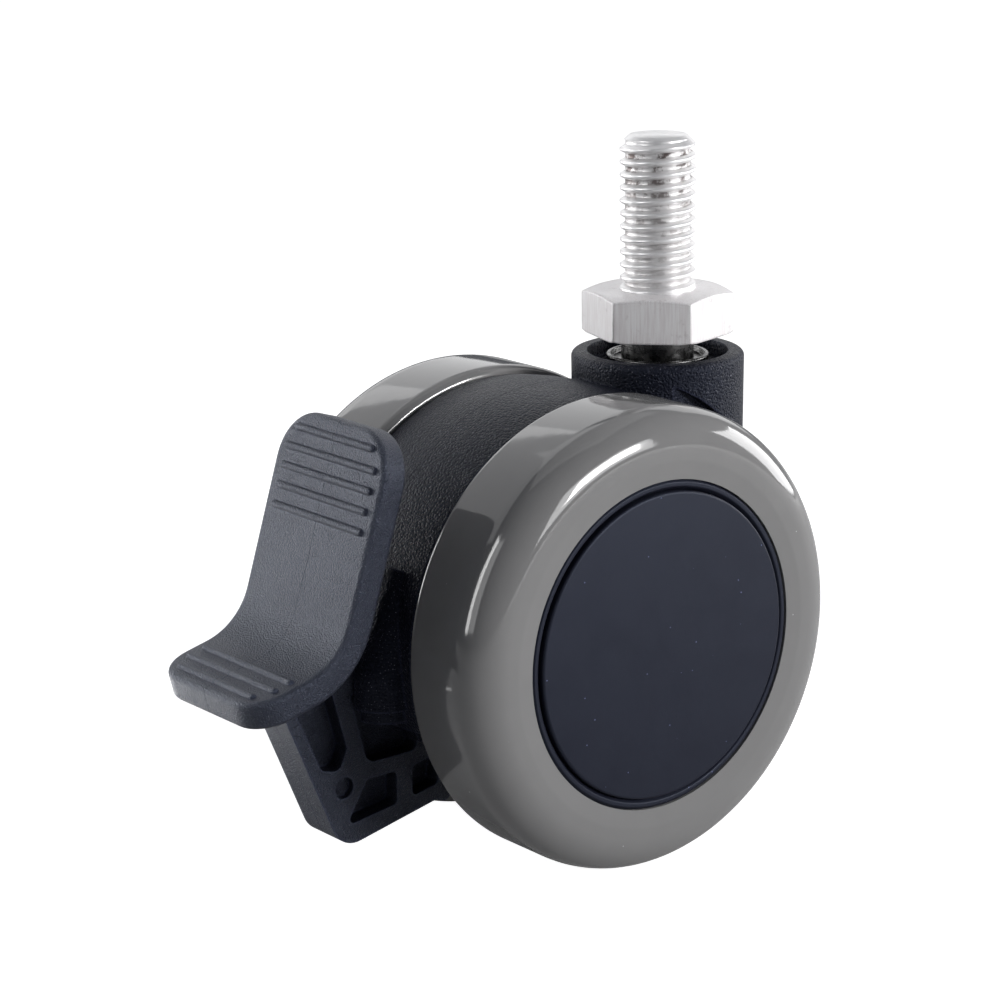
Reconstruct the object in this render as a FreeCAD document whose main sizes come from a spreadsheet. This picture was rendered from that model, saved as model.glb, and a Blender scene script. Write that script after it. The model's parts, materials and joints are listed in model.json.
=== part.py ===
import FreeCAD, Part
import math
import operator
import os
import types
import Sketcher
from FreeCAD import Placement, Rotation, Vector

# Twin-wheel chair caster with a threaded stem and a double-acting brake pedal.
# Frame: +Z up along the swivel axis, origin where that axis crosses the top of the hex
# collar. The wheels trail behind the stem at -X, and the axle lies along Y.

DIMENSIONS = {
    # threaded stem, 1/2 inch by 1 inch
    "thread_radius": 6.25, "thread_length": 25.4, "thread_chamfer": 1.2,
    "hex_flats": 22.0, "hex_height": 7.4,
    "neck_radius": 6.0, "shank_radius": 5.0, "shank_end": 45.2, "neck_end": 18.3,
    "clip_depth": 42.5, "clip_thickness": 1.0,
    # swivel boss, measured down from the collar's top
    "boss_top": 10.3, "boss_bottom": 47.4, "boss_radius": 14.34, "boss_draft": 0.35,
    "rim_round": 1.0, "mouth_radius": 11.7, "mouth_depth": 2.5,
    "bush_top": 33.4, "bush_bottom": 41.4, "bush_outer": 7.0, "foot_bore": 8.5,
    "washer_radius": 8.5, "washer_top": 10.8,
    # swivel bearing, 12 x 21 x 5
    "swivel_bore": 6.0, "swivel_outer": 10.5, "swivel_width": 5.0, "swivel_ball": 1.19,
    # wheel bearing, 8 x 22 x 7
    "hub_bore": 4.0, "hub_outer": 11.0, "hub_width": 7.0, "hub_ball": 1.98,
    "ball_play": 0.04,
    # axle
    "axle_offset": 25.25, "axle_drop": 49.4, "axle_half": 23.4, "axle_groove": 3.6,
    "running_play": 0.04,
    # wheels, half-widths measured from the middle plane
    "wheel_radius": 37.5, "wheel_inner": 12.9, "wheel_outer": 30.3,
    "shoulder_round": 6.2, "inner_round": 1.6, "tread_bore": 30.5, "tread_eye": 26.55,
    "core_inner": 13.2, "web_inner": 24.0, "web_outer": 28.1, "hub_wall": 14.5,
    "cap_radius": 24.75, "cap_face": 30.35, "ring_tip": 25.9, "ring_outer": 28.3,
    "ring_width": 5.0, "bearing_inner": 14.0,
    # housing
    "hood_radius": 36.2, "hood_crown": 37.98, "hood_bore": 33.5, "hood_half": 12.2,
    "hood_foot": 11.5, "cheek_half": 7.5, "slot_half": 4.7, "cheek_foot": 14.8,
    "axle_boss": 8.0, "wheel_clearance": 40.0, "nose_half": 10.3, "nose_front": 41.7,
    "nose_top": 14.2, "nose_foot": 7.8, "nose_round": 5.5, "lip_step": 0.8,
    # pedal
    "pedal_half": 14.0, "pedal_thick": 4.6, "upper_length": 35.3, "step_length": 16.2,
    "top_corner": 8.2, "step_corner": 6.0, "edge_round": 0.9,
    "bend_round": 11.0, "bend_back": 50.46, "bend_up": 3.76,
    "arm_half": 4.0, "arm_web": 2.0, "pivot_back": 26.0, "pivot_down": 9.0, "pin_radius": 2.0,
    "bar_back": 20.3, "bar_up": 2.0, "bar_radius": 2.5, "bar_half": 18.0, "lug_wall": 1.7,
    "grip_radius": 0.62, "grip_half": 11.4, "short_grip_half": 9.7,
    "dimple_radius": 1.75, "dimple_depth": 1.2, "toe_radius": 1.7,
    # detent spring band
    "spring_half": 3.0, "spring_thick": 0.8, "spring_gap": 0.25,
}
UPPER_LEAN = math.radians(17.7)     # pedal's upper plate, away from vertical
STEP_FALL = math.radians(14.0)      # pedal's step, below horizontal
PEDAL_SWING = 14                    # degrees from free to locked
COLLAR_TURN = 13.5                  # degrees that the hex collar happens to be turned
SWIVEL_BALLS = 12
HUB_BALLS = 7
BRAKE_NOTCHES = 36
SIDES = {"left": 1, "right": -1}

doc = FreeCAD.newDocument("twin_wheel_caster")
sheet = doc.addObject("Spreadsheet::Sheet", "dims")
for row, (alias, number) in enumerate(DIMENSIONS.items(), 1):
    sheet.set(f"A{row}", alias)
    sheet.set(f"B{row}", str(number))
    sheet.setAlias(f"B{row}", alias)
doc.recompute()

OPERATIONS = {"+": operator.add, "-": operator.sub, "*": operator.mul, "/": operator.truediv}


class Size:
    """A length worked out from the sheet: its value now, and the expression that drives it."""

    def __init__(self, value, text):
        self.value = value
        self.text = text

    def combined(self, sign, other):
        other = size(other)
        value = OPERATIONS[sign](self.value, other.value)
        return Size(value, f"({self.text} {sign} {other.text})")

    def __add__(self, other):
        return self.combined("+", other)

    def __sub__(self, other):
        return self.combined("-", other)

    def __mul__(self, other):
        return self.combined("*", other)

    def __truediv__(self, other):
        return self.combined("/", other)

    def __neg__(self):
        return size(0).combined("-", self)

    def __radd__(self, other):
        return size(other) + self

    def __rsub__(self, other):
        return size(other) - self

    __rmul__ = __mul__


def size(value):
    return value if isinstance(value, Size) else Size(float(value), f"{float(value):.6f}")


d = types.SimpleNamespace(
    **{alias: Size(sheet.get(alias), f"dims.{alias}") for alias in DIMENSIONS})
AXLE = (-d.axle_offset, 0, -d.axle_drop)
UPRIGHT = Rotation()
ALONG_Y = Rotation(Vector(1, 0, 0), -90)


# ---- general helpers ---------------------------------------------------------------

def bind(item, name, value):
    item.setExpression(name, size(value).text)


def place(item, at, turn=UPRIGHT):
    """Put an item at a point whose coordinates follow the sheet."""
    item.Placement = Placement(Vector(*[size(c).value for c in at]), turn)
    for letter, coordinate in zip("xyz", at):
        bind(item, f"Placement.Base.{letter}", coordinate)
    return item


def shift(at, x=0, y=0, z=0):
    return (size(at[0]) + x, size(at[1]) + y, size(at[2]) + z)


def cylinder(radius, height, at, turn=UPRIGHT):
    item = doc.addObject("Part::Cylinder", "cylinder")
    bind(item, "Radius", radius)
    bind(item, "Height", height)
    return place(item, at, turn)


def bar_across(radius, half, at):
    """A cylinder along Y that reaches half either side of a point."""
    return cylinder(radius, size(half) * 2, shift(at, y=-size(half)), ALONG_Y)


def box(length, width, height, at):
    """A box with its low corner at a point."""
    item = doc.addObject("Part::Box", "box")
    bind(item, "Length", length)
    bind(item, "Width", width)
    bind(item, "Height", height)
    return place(item, at)


def sphere(radius, at, turn=UPRIGHT):
    item = doc.addObject("Part::Sphere", "ball")
    bind(item, "Radius", radius)
    return place(item, at, turn)


def torus(ring, tube, at, turn=UPRIGHT):
    item = doc.addObject("Part::Torus", "groove")
    bind(item, "Radius1", ring)
    bind(item, "Radius2", tube)
    return place(item, at, turn)


def fuse(name, items):
    item = doc.addObject("Part::MultiFuse", name)
    item.Shapes = items
    return item


def cut(name, base, tools):
    item = doc.addObject("Part::Cut", name)
    item.Base = base
    item.Tool = tools[0] if len(tools) == 1 else fuse(f"{name}_tools", tools)
    return item


def common(name, items):
    item = doc.addObject("Part::MultiCommon", name)
    item.Shapes = items
    return item


def named(item, label):
    item.Label = label
    return item


# ---- sketches ----------------------------------------------------------------------

def corner_ends(corners, index):
    """Where a corner's rounding starts and ends, and which way the outline turns there."""
    points = [Vector(size(c[0]).value, size(c[1]).value, 0) for c in corners]
    here = points[index]
    before = (points[index - 1] - here).normalize()
    after = (points[(index + 1) % len(points)] - here).normalize()
    radius = size(corners[index][2]).value if len(corners[index]) > 2 else 0
    half = before.getAngle(after) / 2
    reach = radius / math.tan(half)
    centre = here + (before + after).normalize() * (radius / math.sin(half))
    turns_left = before.cross(after).z < 0
    return here + before * reach, here + after * reach, centre, radius, turns_left


def pin_point(sketch, geometry, position, corner):
    """Hold a point of a sketch at coordinates that follow the sheet."""
    for kind, coordinate in (("DistanceX", corner[0]), ("DistanceY", corner[1])):
        value = size(coordinate)
        link = Sketcher.Constraint(kind, -1, 1, geometry, position, value.value)
        bind(sketch, f"Constraints[{sketch.addConstraint(link)}]", value)


def round_corner(sketch, corner, ends, before, after):
    """Join two lines with a tangent arc and keep the sharp corner they would meet at."""
    start, stop, centre, radius, turns_left = ends
    first, last = (start, stop) if turns_left else (stop, start)
    angles = [math.atan2(p.y - centre.y, p.x - centre.x) for p in (first, last)]
    circle = Part.Circle(centre, Vector(0, 0, 1), radius)
    arc = sketch.addGeometry(Part.ArcOfCircle(circle, *angles))
    near, far = (1, 2) if turns_left else (2, 1)
    sketch.addConstraint(Sketcher.Constraint("Tangent", before, 2, arc, near))
    sketch.addConstraint(Sketcher.Constraint("Tangent", arc, far, after, 1))
    link = Sketcher.Constraint("Radius", arc, radius)
    bind(sketch, f"Constraints[{sketch.addConstraint(link)}]", corner[2])
    point = sketch.addGeometry(Part.Point(Vector(size(corner[0]).value, size(corner[1]).value, 0)), True)
    pin_point(sketch, point, 1, corner)
    for line in (before, after):
        sketch.addConstraint(Sketcher.Constraint("PointOnObject", point, 1, line))


def outline(body, role, corners):
    """A closed sketch. Each corner is (x, y) or (x, y, rounding radius)."""
    sketch = body.newObject("Sketcher::SketchObject", "outline")
    plane = [f for f in body.Origin.OriginFeatures if f.Role == role][0]
    sketch.AttachmentSupport = [(plane, "")]
    sketch.MapMode = "FlatFace"
    ends = [corner_ends(corners, i) for i in range(len(corners))]
    count = len(corners)
    for i in range(count):
        sketch.addGeometry(Part.LineSegment(ends[i][1], ends[(i + 1) % count][0]))
    for i, corner in enumerate(corners):
        if len(corner) > 2:
            round_corner(sketch, corner, ends[i], (i - 1) % count, i)
        else:
            sketch.addConstraint(Sketcher.Constraint("Coincident", (i - 1) % count, 2, i, 1))
            pin_point(sketch, i, 1, corner)
    return sketch


def revolved(label, role, corners, at=(0, 0, 0)):
    """A turned piece: corners are (radius, height), turned about the sketch's upright axis."""
    body = doc.addObject("PartDesign::Body", label)
    sketch = outline(body, role, corners)
    turn = body.newObject("PartDesign::Revolution", "turn")
    turn.Profile = sketch
    turn.ReferenceAxis = (sketch, ["V_Axis"])
    turn.Angle = 360
    return place(named(body, label), at)


def turned_on_swivel(label, corners):
    """Corners are (radius, depth below the collar's top)."""
    return revolved(label, "XZ_Plane", [(c[0], -size(c[1]), *c[2:]) for c in corners])


def turned_on_axle(label, corners, side=1):
    """Corners are (radius, distance from the middle plane)."""
    return revolved(label, "XY_Plane", [(c[0], size(c[1]) * side, *c[2:]) for c in corners], AXLE)


def upright_plate(label, corners, half, middle=0):
    """A plate in the XZ plane, half thick either side of y = middle; corners from the axle."""
    body = doc.addObject("PartDesign::Body", label)
    pad = body.newObject("PartDesign::Pad", "pad")
    pad.Profile = outline(body, "XZ_Plane", corners)
    pad.SideType = "Symmetric"
    bind(pad, "Length", size(half) * 2)
    return place(named(body, label), shift(AXLE, y=middle))


def edge_names(shape, wanted):
    return [f"Edge{i}" for i, edge in enumerate(shape.Edges, 1) if wanted(edge)]


def soften(body, radius, wanted):
    """Round the edges of a body's last feature that the test picks, in the body's own frame."""
    doc.recompute()
    tip = body.Tip
    fillet = body.newObject("PartDesign::Fillet", "round")
    fillet.Base = (tip, edge_names(tip.Shape, wanted))
    bind(fillet, "Radius", radius)
    body.Tip = fillet
    doc.recompute()


# ---- stem --------------------------------------------------------------------------

def threaded_stem():
    """Threaded post, hex collar and the kingpin shank below it, one steel forging."""
    across_corners = d.hex_flats / math.cos(math.pi / 6)
    body = doc.addObject("PartDesign::Body", "collar_blank")
    sketch = outline(body, "XY_Plane", [
        (across_corners / 2 * math.cos(math.pi / 3 * k), across_corners / 2 * math.sin(math.pi / 3 * k))
        for k in range(6)])
    collar = body.newObject("PartDesign::Pad", "collar")
    collar.Profile = sketch
    collar.Reversed = True
    bind(collar, "Length", d.hex_height)
    bevel_rim = d.hex_flats / 2 - 0.6
    bevel = turned_on_swivel("collar_bevel", [
        (0, 0), (bevel_rim, 0), (d.hex_flats / 2 + 3.2, 2.2), (d.hex_flats / 2 + 3.2, d.hex_height - 0.9),
        (d.hex_flats / 2 + 1.0, d.hex_height), (0, d.hex_height)])
    shaft = turned_on_swivel("shaft", [
        (0, -d.thread_length), (d.thread_radius - d.thread_chamfer, -d.thread_length),
        (d.thread_radius, d.thread_chamfer - d.thread_length), (d.thread_radius, 1),
        (d.neck_radius, 1), (d.neck_radius, d.neck_end), (d.shank_radius, d.neck_end + 1),
        (d.shank_radius, d.clip_depth), (d.shank_radius - 0.7, d.clip_depth),
        (d.shank_radius - 0.7, d.clip_depth + d.clip_thickness + 0.1),
        (d.shank_radius, d.clip_depth + d.clip_thickness + 0.1),
        (d.shank_radius, d.shank_end - 0.6), (d.shank_radius - 0.6, d.shank_end), (0, d.shank_end)])
    collar_only = common("bevelled_collar", [body, bevel])
    place(body, (0, 0, 0), Rotation(Vector(0, 0, 1), COLLAR_TURN))
    return named(fuse("stem_forging", [collar_only, shaft]), "threaded_stem")


def dust_washer():
    """Cupped washer with a rolled rim that covers the swivel bearing."""
    return turned_on_swivel("dust_washer", [
        (d.neck_radius, d.washer_top + 0.9), (d.washer_radius - 0.9, d.washer_top + 0.9, 0.2),
        (d.washer_radius - 0.7, d.washer_top, 0.2), (d.washer_radius, d.washer_top, 0.25),
        (d.washer_radius, d.washer_top + 1.5), (d.neck_radius + 1.0, d.washer_top + 1.5),
        (d.neck_radius + 1.0, d.boss_top + d.mouth_depth), (d.neck_radius, d.boss_top + d.mouth_depth)])


# ---- bearings ----------------------------------------------------------------------

def ball_bearing(names, sizes, at, turn):
    """Inner ring, outer ring, and the balls beside their cage's spine, from one end face."""
    bore, outer, width, ball, count = sizes
    pitch = (bore + outer) / 2
    land = ball * 0.72
    middle = tuple(size(c) for c in at)
    along = turn.multVec(Vector(0, 0, 1))
    centre = shift(middle, *[width / 2 * round(c) for c in along])
    groove = torus(pitch, ball + d.ball_play, centre, turn)
    inner = cut("inner_blank", cylinder(pitch - land, width, at, turn),
                [cylinder(bore, width, at, turn), groove])
    groove = torus(pitch, ball + d.ball_play, centre, turn)
    outer_ring = cut("outer_blank", cylinder(outer, width, at, turn),
                     [cylinder(pitch + land, width, at, turn), groove])
    balls = []
    for k in range(count):
        angle = 2 * math.pi * k / count
        across = turn.multVec(Vector(math.cos(angle), math.sin(angle), 0))
        seat = shift(centre, pitch * across.x, pitch * across.y, pitch * across.z)
        balls.append(sphere(ball, seat, turn))
    spine_start = shift(centre, *[ball * 1.1 * round(c) for c in along])
    spine = cut("cage_spine", cylinder(pitch + ball * 0.3, 0.45, spine_start, turn),
                [cylinder(pitch - ball * 0.3, 0.45, spine_start, turn)])
    ball_set = doc.addObject("Part::Compound", "ball_set")
    ball_set.Links = balls + [spine]
    return [named(item, name) for item, name in zip((inner, outer_ring, ball_set), names)]


def swivel_bearing():
    names = ("swivel_inner_ring", "swivel_outer_ring", "swivel_balls")
    sizes = (d.swivel_bore, d.swivel_outer, d.swivel_width, d.swivel_ball, SWIVEL_BALLS)
    foot = d.boss_top + d.mouth_depth + d.swivel_width
    return ball_bearing(names, sizes, (0, 0, -foot), UPRIGHT)


def hub_bearing(name, side):
    names = [f"{piece}_{name}" for piece in ("hub_inner_ring", "hub_outer_ring", "hub_balls")]
    sizes = (d.hub_bore, d.hub_outer, d.hub_width, d.hub_ball, HUB_BALLS)
    turn = Rotation(Vector(1, 0, 0), -90 * side)
    return ball_bearing(names, sizes, shift(AXLE, y=d.bearing_inner * side), turn)


# ---- housing -----------------------------------------------------------------------

def hood_shell():
    """Crowned rim between the wheels, open below."""
    rim = turned_on_axle("hood_rim", [
        (d.hood_bore, -d.hood_half), (d.hood_radius, -d.hood_half), (d.hood_crown, 0, 78),
        (d.hood_radius, d.hood_half), (d.hood_bore, d.hood_half)])
    keep = box(d.wheel_radius * 2, d.hood_half * 2, d.wheel_radius + d.hood_foot,
               shift(AXLE, -d.wheel_radius, -d.hood_half, -d.hood_foot))
    return common("hood_shell", [rim, keep])


def cheek_block():
    """The two side plates, before the space for the pedal arm is cut between them."""
    disc = bar_across(d.hood_bore + 1, d.cheek_half, AXLE)
    keep = box(d.wheel_radius * 2, d.cheek_half * 2, d.wheel_radius + d.cheek_foot,
               shift(AXLE, -d.wheel_radius, -d.cheek_half, -d.cheek_foot))
    return common("cheek_block", [disc, keep])


def swivel_boss():
    """Drafted barrel for the kingpin, cut back where the wheels turn under it."""
    barrel = turned_on_swivel("boss_barrel", [
        (0, d.boss_top), (d.boss_radius, d.boss_top, d.rim_round),
        (d.boss_radius - d.boss_draft, d.boss_bottom, 1.5), (0, d.boss_bottom)])
    reach = d.boss_radius * 2
    sweeps = [cylinder(d.wheel_clearance, reach, shift(AXLE, y=d.hood_half), ALONG_Y),
              cylinder(d.wheel_clearance, reach, shift(AXLE, y=-d.hood_half - reach), ALONG_Y)]
    return cut("swivel_boss", barrel, sweeps)


def nose():
    """Rounded front of the housing that fills the space behind the pedal's step."""
    back = -d.hood_bore + 2
    bow = upright_plate("nose_block", [
        (back, d.nose_top - 1.5), (2.9 - d.hood_crown, d.nose_top), (-d.nose_front, -2.0, 6),
        (0.2 - d.nose_front, -d.nose_foot), (back, -d.nose_foot)], d.nose_half)
    soften(bow, d.nose_round, lambda edge: outside_edge(edge, d.nose_half.value))
    lip_half = d.nose_half - d.lip_step
    lip = upright_plate("nose_lip", [
        (back, 0.5 - d.nose_foot), (1.1 - d.nose_front, 0.5 - d.nose_foot),
        (1.3 - d.nose_front, -d.nose_foot - 2.2), (back, -d.nose_foot - 2.2)], lip_half)
    soften(lip, d.nose_round - 0.4, lambda edge: outside_edge(edge, lip_half.value))
    return [bow, lip]


def outside_edge(edge, half):
    """An edge that runs along the front of a side face rather than across the piece."""
    bounds = edge.BoundBox
    on_side = abs(abs(bounds.Center.y) - half) < 0.01
    return on_side and bounds.Center.x < -d.hood_bore.value - 2 and bounds.ZLength > bounds.XLength


def pedal_space():
    """The slot between the cheeks, open to the front and below."""
    disc = bar_across(d.hood_bore, d.slot_half, AXLE)
    ahead = box(d.wheel_radius * 2, d.slot_half * 2, d.wheel_radius * 2,
                shift(AXLE, 9.5 - d.wheel_radius * 2, -d.slot_half, -d.wheel_radius))
    mouth = box(16, d.slot_half * 2, 30, shift(AXLE, -d.hood_bore - 11, -d.slot_half, -22))
    return [common("arm_space", [disc, ahead]), mouth]


def bar_slot():
    """Opening in both cheeks that lets the brake bar swing about the pedal pivot."""
    play = d.bar_radius + 0.6
    ends = []
    for angle in (0, PEDAL_SWING / 2, PEDAL_SWING):
        x, z = swung(d.bar_back, d.bar_up, angle)
        ends.append(bar_across(play, d.cheek_half + 1, shift(AXLE, x=x, z=z)))
    return ends


def swung(back, up, degrees):
    """A point given from the axle, after the pedal has turned by an angle."""
    c, s = math.cos(math.radians(degrees)), math.sin(math.radians(degrees))
    x, z = d.pivot_back - back, up + d.pivot_down
    return (x * c - z * s) - d.pivot_back, (x * s + z * c) - d.pivot_down


def bored_seats():
    """Stepped bore for the swivel bearing, the kingpin and the lower bush."""
    seat = d.boss_top + d.mouth_depth
    floor = seat + d.swivel_width
    return turned_on_swivel("boss_bore", [
        (0, d.boss_top - 1), (d.mouth_radius, d.boss_top - 1), (d.mouth_radius, seat),
        (d.swivel_outer, seat), (d.swivel_outer, floor), (d.neck_radius + 0.4, floor),
        (d.neck_radius + 0.4, d.bush_top), (d.bush_outer, d.bush_top),
        (d.bush_outer, d.bush_bottom), (d.foot_bore, d.bush_bottom),
        (d.foot_bore, d.boss_bottom + 1), (0, d.boss_bottom + 1)])


def housing():
    """Hood, cheeks, swivel boss, nose and axle boss, moulded in one piece."""
    solid = fuse("housing_solid", [hood_shell(), cheek_block(), swivel_boss(), *nose()])
    slotted = cut("housing_slotted", solid, pedal_space())
    bossed = fuse("housing_bossed", [slotted, bar_across(d.axle_boss, d.hood_half, AXLE)])
    pivot = shift(AXLE, x=-d.pivot_back, z=-d.pivot_down)
    holes = [bored_seats(), bar_across(d.hub_bore, d.hood_half + 1, AXLE),
             bar_across(d.pin_radius, d.cheek_half + 1, pivot), *bar_slot()]
    return named(cut("housing_bored", bossed, holes), "housing")


def lower_bush():
    """Flanged plain bush that steadies the foot of the kingpin."""
    bore = d.shank_radius + d.running_play
    return turned_on_swivel("lower_bush", [
        (bore, d.bush_top), (d.bush_outer, d.bush_top), (d.bush_outer, d.bush_bottom),
        (d.bush_outer + 1.2, d.bush_bottom), (d.bush_outer + 1.2, d.clip_depth - 0.1),
        (bore, d.clip_depth - 0.1)])


def boss_plug():
    """Pressed cap that closes the foot of the boss."""
    return turned_on_swivel("boss_plug", [
        (0, d.boss_bottom - 0.2), (d.foot_bore, d.boss_bottom - 0.2, 0.3),
        (d.foot_bore, d.boss_bottom - 1.8), (0, d.boss_bottom - 1.8)])


# ---- axle --------------------------------------------------------------------------

def axle():
    """Steel axle with a chamfered, grooved end on each side."""
    groove = d.bearing_inner + d.hub_width
    half = [(0, d.axle_half), (d.hub_bore - 0.5, d.axle_half), (d.hub_bore, d.axle_half - 0.5),
            (d.hub_bore, groove + 1), (d.axle_groove, groove + 1), (d.axle_groove, groove),
            (d.hub_bore, groove)]
    other = [(radius, -y) for radius, y in reversed(half)]
    return turned_on_axle("axle", half + other)


def axle_spacer(name, side):
    """Washer that keeps the hub bearing off the housing."""
    return turned_on_axle(f"axle_spacer_{name}", [
        (d.hub_bore, d.hood_half), (d.hub_bore + 2.0, d.hood_half),
        (d.hub_bore + 2.0, d.bearing_inner), (d.hub_bore, d.bearing_inner)], side)


def axle_clip(name, side):
    start = d.bearing_inner + d.hub_width
    base = start * side if side > 0 else (start + 0.9) * side
    at = shift(AXLE, y=base)
    opening = shift(AXLE, x=-d.axle_groove * 0.6, y=base, z=-d.hub_bore * 2.4)
    blank = cylinder(d.hub_bore + 2.2, 0.9, at, ALONG_Y)
    eye = cylinder(d.axle_groove, 0.9, at, ALONG_Y)
    gap = box(d.axle_groove * 1.2, 0.9, d.hub_bore * 2.4, opening)
    return named(cut("clip_blank", blank, [eye, gap]), f"axle_clip_{name}")


def stem_clip():
    """Retaining ring below the lower bush."""
    foot = -d.clip_depth - d.clip_thickness
    blank = cylinder(d.bush_outer, d.clip_thickness, (0, 0, foot))
    eye = cylinder(d.shank_radius - 0.7, d.clip_thickness, (0, 0, foot))
    gap = box(d.bush_outer, d.shank_radius * 1.2, d.clip_thickness, (0, -d.shank_radius * 0.6, foot))
    return named(cut("stem_clip_blank", blank, [eye, gap]), "stem_clip")


# ---- wheels ------------------------------------------------------------------------

def wheel_core(name, side):
    """Nylon wheel centre: hub, web, rim and the lip that frames the cap."""
    groove_floor = d.web_outer + 1.3
    return turned_on_axle(f"wheel_core_{name}", [
        (d.hub_outer, d.core_inner + 0.4), (d.hub_wall, d.core_inner + 0.4),
        (d.hub_wall + 0.8, d.web_inner, 1.2), (d.ring_outer, d.web_inner, 1.2),
        (d.ring_outer, d.core_inner), (d.tread_bore, d.core_inner),
        (d.tread_bore, d.web_outer - 0.6), (d.tread_eye, d.web_outer - 0.6),
        (d.tread_eye, groove_floor), (d.tread_eye - 0.5, groove_floor + 0.5, 0.2),
        (d.cap_radius + 0.7, groove_floor + 0.5, 0.3), (d.cap_radius + 0.1, groove_floor - 0.3),
        (d.cap_radius + 0.1, d.web_outer), (d.hub_outer - 1.3, d.web_outer),
        (d.hub_outer - 1.3, d.bearing_inner + d.hub_width),
        (d.hub_outer, d.bearing_inner + d.hub_width)], side)


def tread(name, side):
    """Soft tyre moulded on the rim, with a flat running band and a broad outer shoulder."""
    return turned_on_axle(f"tread_{name}", [
        (d.tread_bore, d.wheel_inner), (d.wheel_radius, d.wheel_inner, d.inner_round),
        (d.wheel_radius, d.wheel_outer, d.shoulder_round), (d.tread_bore - 1, d.wheel_outer, 6),
        (d.tread_eye, d.wheel_outer - 0.35), (d.tread_eye, d.web_outer - 0.6),
        (d.tread_bore, d.web_outer - 0.6)], side)


def hub_cap(name, side):
    """Flat snap-in disc with a spigot that centres it in the core."""
    spigot = d.hub_outer - 1.3 - d.running_play
    return turned_on_axle(f"hub_cap_{name}", [
        (0, d.cap_face), (d.cap_radius, d.cap_face, 0.45), (d.cap_radius, d.web_outer),
        (spigot, d.web_outer), (spigot, d.web_outer - 3.4), (spigot - 1.2, d.web_outer - 3.4),
        (spigot - 1.2, d.web_outer - 0.6), (0, d.web_outer - 0.6)], side)


def brake_ring(name, side):
    """Notched ring inside the wheel that the brake bar presses against."""
    inner_face = d.core_inner + 0.2
    middle = (inner_face + d.ring_width / 2) * side
    ring = bar_across(d.ring_outer, d.ring_width / 2, shift(AXLE, y=middle))
    eye = bar_across(d.ring_tip, d.ring_width / 2, shift(AXLE, y=middle))
    notches = []
    for k in range(BRAKE_NOTCHES):
        angle = 2 * math.pi * k / BRAKE_NOTCHES
        at = shift(AXLE, d.ring_tip * math.cos(angle), middle, d.ring_tip * math.sin(angle))
        notches.append(bar_across(1.0, d.ring_width / 2, at))
    return named(cut("brake_ring_blank", ring, [eye, *notches]), f"brake_ring_{name}")


# ---- pedal -------------------------------------------------------------------------

def plate_line(distance, depth, upper):
    """A point on the S-shaped plate: along a leg from the bend, and down through the plate."""
    lean = UPPER_LEAN if upper else math.pi * 1.5 - STEP_FALL
    along = (math.sin(lean), math.cos(lean))
    through = (math.cos(lean), -math.sin(lean)) if upper else (-math.cos(lean), math.sin(lean))
    x = distance * along[0] + depth * through[0] - d.bend_back
    z = distance * along[1] + depth * through[1] + d.bend_up
    return x, z


def pedal_plate():
    """Upper plate and lower step in one gentle S, with rounded corners."""
    none = size(0)
    inner = math.tan((math.pi / 2 - UPPER_LEAN - STEP_FALL) / 2)
    back_bend = plate_line(-d.pedal_thick * inner, d.pedal_thick, True)
    body = upright_plate("pedal_plate", [
        plate_line(d.upper_length, none, True), (*plate_line(none, none, True), d.bend_round),
        plate_line(d.step_length, none, False), plate_line(d.step_length, d.pedal_thick, False),
        (*back_bend, d.bend_round + d.pedal_thick), plate_line(d.upper_length, d.pedal_thick, True)],
        d.pedal_half)
    doc.recompute()
    top = body.Tip.Shape.BoundBox.ZMax
    tip = body.Tip.Shape.BoundBox.XMin
    soften(body, d.top_corner, lambda edge: through_edge(edge) and edge.BoundBox.ZMax > top - 2)
    soften(body, d.step_corner, lambda edge: through_edge(edge) and edge.BoundBox.XMin < tip + 2)
    soften(body, d.edge_round, lambda edge: face_edge(edge, 0))
    soften(body, d.edge_round, lambda edge: face_edge(edge, d.pedal_thick.value))
    return body


def through_edge(edge):
    """A short edge at a plate's corner that runs through its thickness."""
    bounds = edge.BoundBox
    return bounds.YLength < 0.01 and abs(edge.Length - d.pedal_thick.value) < 0.01


def face_edge(edge, depth):
    """An edge of the plate's tread face, or of the face some depth behind it."""
    for vertex in edge.Vertexes:
        x = vertex.X + d.bend_back.value
        z = vertex.Z - d.bend_up.value
        upper = x * math.cos(UPPER_LEAN) - z * math.sin(UPPER_LEAN)
        lower = x * math.sin(STEP_FALL) - z * math.cos(STEP_FALL)
        if min(abs(upper - depth), abs(lower - depth)) > 0.02:
            return False
    return True


def arm_blank():
    """Outline of the brake arm below the step, with its hub and the lug for the brake bar."""
    lug = d.bar_radius + d.lug_wall
    return upright_plate("arm_blank", [
        (-56.6, -1.0), (-44.2, -30.6, 4.5), (-22.2, -26.0, 1.5), (-20.6, -15.0, 3),
        (lug - d.bar_back, -5.0, 2), (lug - d.bar_back, d.bar_up + lug, lug - 0.2),
        (-lug - d.bar_back, d.bar_up + lug, lug - 0.2), (-lug - d.bar_back, -3.9, 1.5),
        (-33.0, -3.9, 5), (-39.5, -1.0, 4), (-46.0, 9.0), (-50.0, 1.5)], d.arm_half)


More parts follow.
